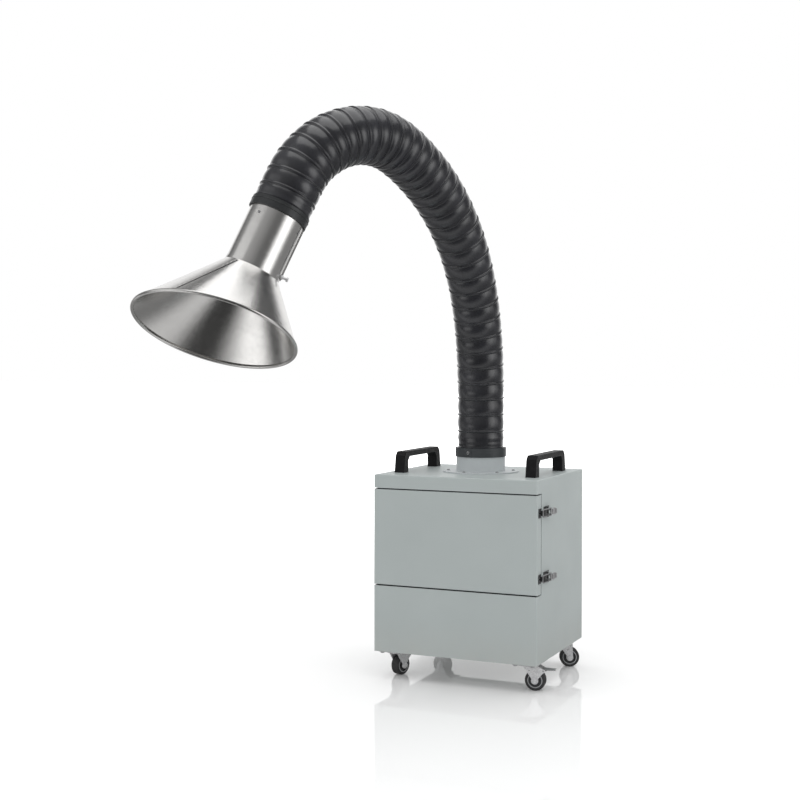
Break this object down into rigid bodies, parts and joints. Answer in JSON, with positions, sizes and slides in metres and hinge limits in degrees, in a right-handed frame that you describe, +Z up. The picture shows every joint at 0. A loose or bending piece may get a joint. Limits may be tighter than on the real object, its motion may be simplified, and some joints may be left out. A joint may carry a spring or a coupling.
{
  "type": "welding fume extractor",
  "caption": "Mobile welding fume extractor: steel filter cabinet on braked casters, latched front door, ribbed shape-holding hose arm and tilted cone hood with a damper.",
  "frame": {"origin": "on the floor under the middle of the cabinet", "axes": "+X cabinet's right, +Y cabinet's back, +Z up; the door and the hood face -Y"},
  "size_m": [0.7602, 1.1371, 1.3892],
  "materials": {
    "cabinet_paint": "fine textured light grey powder coat",
    "duct_paint": "satin mid grey coat",
    "handle_plastic": "fine grained black",
    "hose_rubber": "coated fabric, semi-gloss charcoal",
    "ring_plastic": "smooth slate grey",
    "hood_steel": "brushed round the cone",
    "zinc_steel": "bright zinc plate",
    "latch_black": "black coated pressing",
    "damper_steel": "mill finish sheet",
    "tread_rubber": "matt black",
    "hub_plastic": "moulded grey",
    "seal_foam": "closed-cell foam",
    "filter_board": "raw board frame",
    "filter_paper": "pleated paper",
    "filter_mat": "coarse fibre mat",
    "carbon_tray": "carbon granules in a tray",
    "inner_steel": "galvanised sheet",
    "motor_iron": "painted casting",
    "fitting_plastic": "moulded black"
  },
  "bodies": {
    "cabinet": {"cabinet_shell": "cabinet_paint", "hinge_cabinet_leaves": "zinc_steel", "handle_left": "handle_plastic", "handle_right": "handle_plastic", "duct_collar": "duct_paint", "filter_deck": "inner_steel", "carbon_filter": "carbon_tray", "hepa_frame": "filter_board", "hepa_pleats": "filter_paper", "prefilter": "filter_mat", "fan_housing": "inner_steel", "fan_motor": "motor_iron", "exhaust_grille": "cabinet_paint", "power_inlet": "fitting_plastic", "switch_housing": "fitting_plastic", "dial_pot": "fitting_plastic", "latch_base_upper": "latch_black", "latch_base_lower": "latch_black", "caster_plate_front_left": "zinc_steel", "caster_plate_front_right": "zinc_steel", "caster_plate_rear_left": "zinc_steel", "caster_plate_rear_right": "zinc_steel"},
    "door": {"door_panel": "cabinet_paint", "door_gasket": "seal_foam", "hinge_door_leaves": "zinc_steel", "latch_keeper_upper": "latch_black", "latch_keeper_lower": "latch_black"},
    "arm": {"arm_hose": "hose_rubber", "hose_clamp_ring": "ring_plastic", "hood_cuff": "ring_plastic", "hood_collar": "hood_steel", "hood_cone": "hood_steel", "hood_rim": "hood_steel"},
    "damper": {"damper_spindle": "zinc_steel", "damper_disc": "damper_steel"},
    "fan_wheel": {"impeller": "inner_steel"},
    "rocker": {"switch_rocker": "fitting_plastic"},
    "dial": {"speed_dial": "fitting_plastic"},
    "latch_arm_upper": {"latch_lever_upper": "zinc_steel"},
    "latch_wire_upper": {"latch_bail_upper": "zinc_steel"},
    "latch_arm_lower": {"latch_lever_lower": "zinc_steel"},
    "latch_wire_lower": {"latch_bail_lower": "zinc_steel"},
    "fork_front_left": {"caster_fork_front_left": "zinc_steel"},
    "wheel_front_left": {"caster_tread_front_left": "tread_rubber", "caster_hub_front_left": "hub_plastic"},
    "pedal_front_left": {"brake_pedal_front_left": "zinc_steel"},
    "fork_front_right": {"caster_fork_front_right": "zinc_steel"},
    "wheel_front_right": {"caster_tread_front_right": "tread_rubber", "caster_hub_front_right": "hub_plastic"},
    "pedal_front_right": {"brake_pedal_front_right": "zinc_steel"},
    "fork_rear_left": {"caster_fork_rear_left": "zinc_steel"},
    "wheel_rear_left": {"caster_tread_rear_left": "tread_rubber", "caster_hub_rear_left": "hub_plastic"},
    "pedal_rear_left": {"brake_pedal_rear_left": "zinc_steel"},
    "fork_rear_right": {"caster_fork_rear_right": "zinc_steel"},
    "wheel_rear_right": {"caster_tread_rear_right": "tread_rubber", "caster_hub_rear_right": "hub_plastic"}
  },
  "joints": [
    {"name": "door_hinge", "type": "hinge", "parent": "cabinet", "child": "door", "pos_m": [-0.2209, -0.1565, 0.362], "axis": [0, 0, -1], "range_deg": [0, 110]},
    {"name": "arm_swivel", "type": "hinge", "parent": "cabinet", "child": "arm", "pos_m": [0, 0, 0.572], "axis": [0, 0, 1], "range_deg": [-170, 170]},
    {"name": "damper_turn", "type": "hinge", "parent": "arm", "child": "damper", "pos_m": [-0.26185, -0.70388, 1.01746], "axis": [0.855, 0.3292, -0.4007], "range_deg": [0, 90]},
    {"name": "fan_spin", "type": "hinge", "parent": "cabinet", "child": "fan_wheel", "pos_m": [0, -0.018, 0.19], "axis": [0, 0, 1], "continuous": true},
    {"name": "switch_rock", "type": "hinge", "parent": "cabinet", "child": "rocker", "pos_m": [-0.15, 0.189, 0.104], "axis": [1, 0, 0], "range_deg": [0, 14]},
    {"name": "speed_turn", "type": "hinge", "parent": "cabinet", "child": "dial", "pos_m": [-0.15, 0.196, 0.194], "axis": [0, 1, 0], "range_deg": [0, 270]},
    {"name": "latch_upper_throw", "type": "hinge", "parent": "cabinet", "child": "latch_arm_upper", "pos_m": [0.223, -0.126, 0.439], "axis": [0, 0, -1], "range_deg": [0, 100]},
    {"name": "latch_upper_wire", "type": "hinge", "parent": "latch_arm_upper", "child": "latch_wire_upper", "pos_m": [0.2285, -0.118, 0.439], "axis": [0, 0, -1], "range_deg": [-100, 0]},
    {"name": "latch_lower_throw", "type": "hinge", "parent": "cabinet", "child": "latch_arm_lower", "pos_m": [0.223, -0.126, 0.279], "axis": [0, 0, -1], "range_deg": [0, 100]},
    {"name": "latch_lower_wire", "type": "hinge", "parent": "latch_arm_lower", "child": "latch_wire_lower", "pos_m": [0.2285, -0.118, 0.279], "axis": [0, 0, -1], "range_deg": [-100, 0]},
    {"name": "swivel_front_left", "type": "hinge", "parent": "cabinet", "child": "fork_front_left", "pos_m": [-0.179, -0.138, 0.062], "axis": [0, 0, 1], "continuous": true},
    {"name": "roll_front_left", "type": "hinge", "parent": "fork_front_left", "child": "wheel_front_left", "pos_m": [-0.17404, -0.1207, 0.0255], "axis": [-0.9613, 0.2756, 0], "continuous": true},
    {"name": "brake_front_left", "type": "hinge", "parent": "fork_front_left", "child": "pedal_front_left", "pos_m": [-0.16825, -0.10051, 0.05], "axis": [-0.9613, 0.2756, 0], "range_deg": [0, 12]},
    {"name": "swivel_front_right", "type": "hinge", "parent": "cabinet", "child": "fork_front_right", "pos_m": [0.179, -0.138, 0.062], "axis": [0, 0, 1], "continuous": true},
    {"name": "roll_front_right", "type": "hinge", "parent": "fork_front_right", "child": "wheel_front_right", "pos_m": [0.19682, -0.13549, 0.0255], "axis": [-0.1392, 0.9903, 0], "continuous": true},
    {"name": "brake_front_right", "type": "hinge", "parent": "fork_front_right", "child": "pedal_front_right", "pos_m": [0.21762, -0.13257, 0.05], "axis": [-0.1392, 0.9903, 0], "range_deg": [0, 12]},
    {"name": "swivel_rear_left", "type": "hinge", "parent": "cabinet", "child": "fork_rear_left", "pos_m": [-0.179, 0.138, 0.062], "axis": [0, 0, 1], "continuous": true},
    {"name": "roll_rear_left", "type": "hinge", "parent": "fork_rear_left", "child": "wheel_rear_left", "pos_m": [-0.16139, 0.13426, 0.0255], "axis": [0.2079, 0.9781, 0], "continuous": true},
    {"name": "brake_rear_left", "type": "hinge", "parent": "fork_rear_left", "child": "pedal_rear_left", "pos_m": [-0.14085, 0.12989, 0.05], "axis": [0.2079, 0.9781, 0], "range_deg": [0, 12]},
    {"name": "swivel_rear_right", "type": "hinge", "parent": "cabinet", "child": "fork_rear_right", "pos_m": [0.179, 0.138, 0.062], "axis": [0, 0, 1], "continuous": true},
    {"name": "roll_rear_right", "type": "hinge", "parent": "fork_rear_right", "child": "wheel_rear_right", "pos_m": [0.19544, 0.14532, 0.0255], "axis": [-0.4067, 0.9135, 0], "continuous": true}
  ],
  "couplings": [
    {"joint": "latch_upper_wire", "follows": "latch_upper_throw", "ratio": -1},
    {"joint": "latch_lower_wire", "follows": "latch_lower_throw", "ratio": -1}
  ]
}
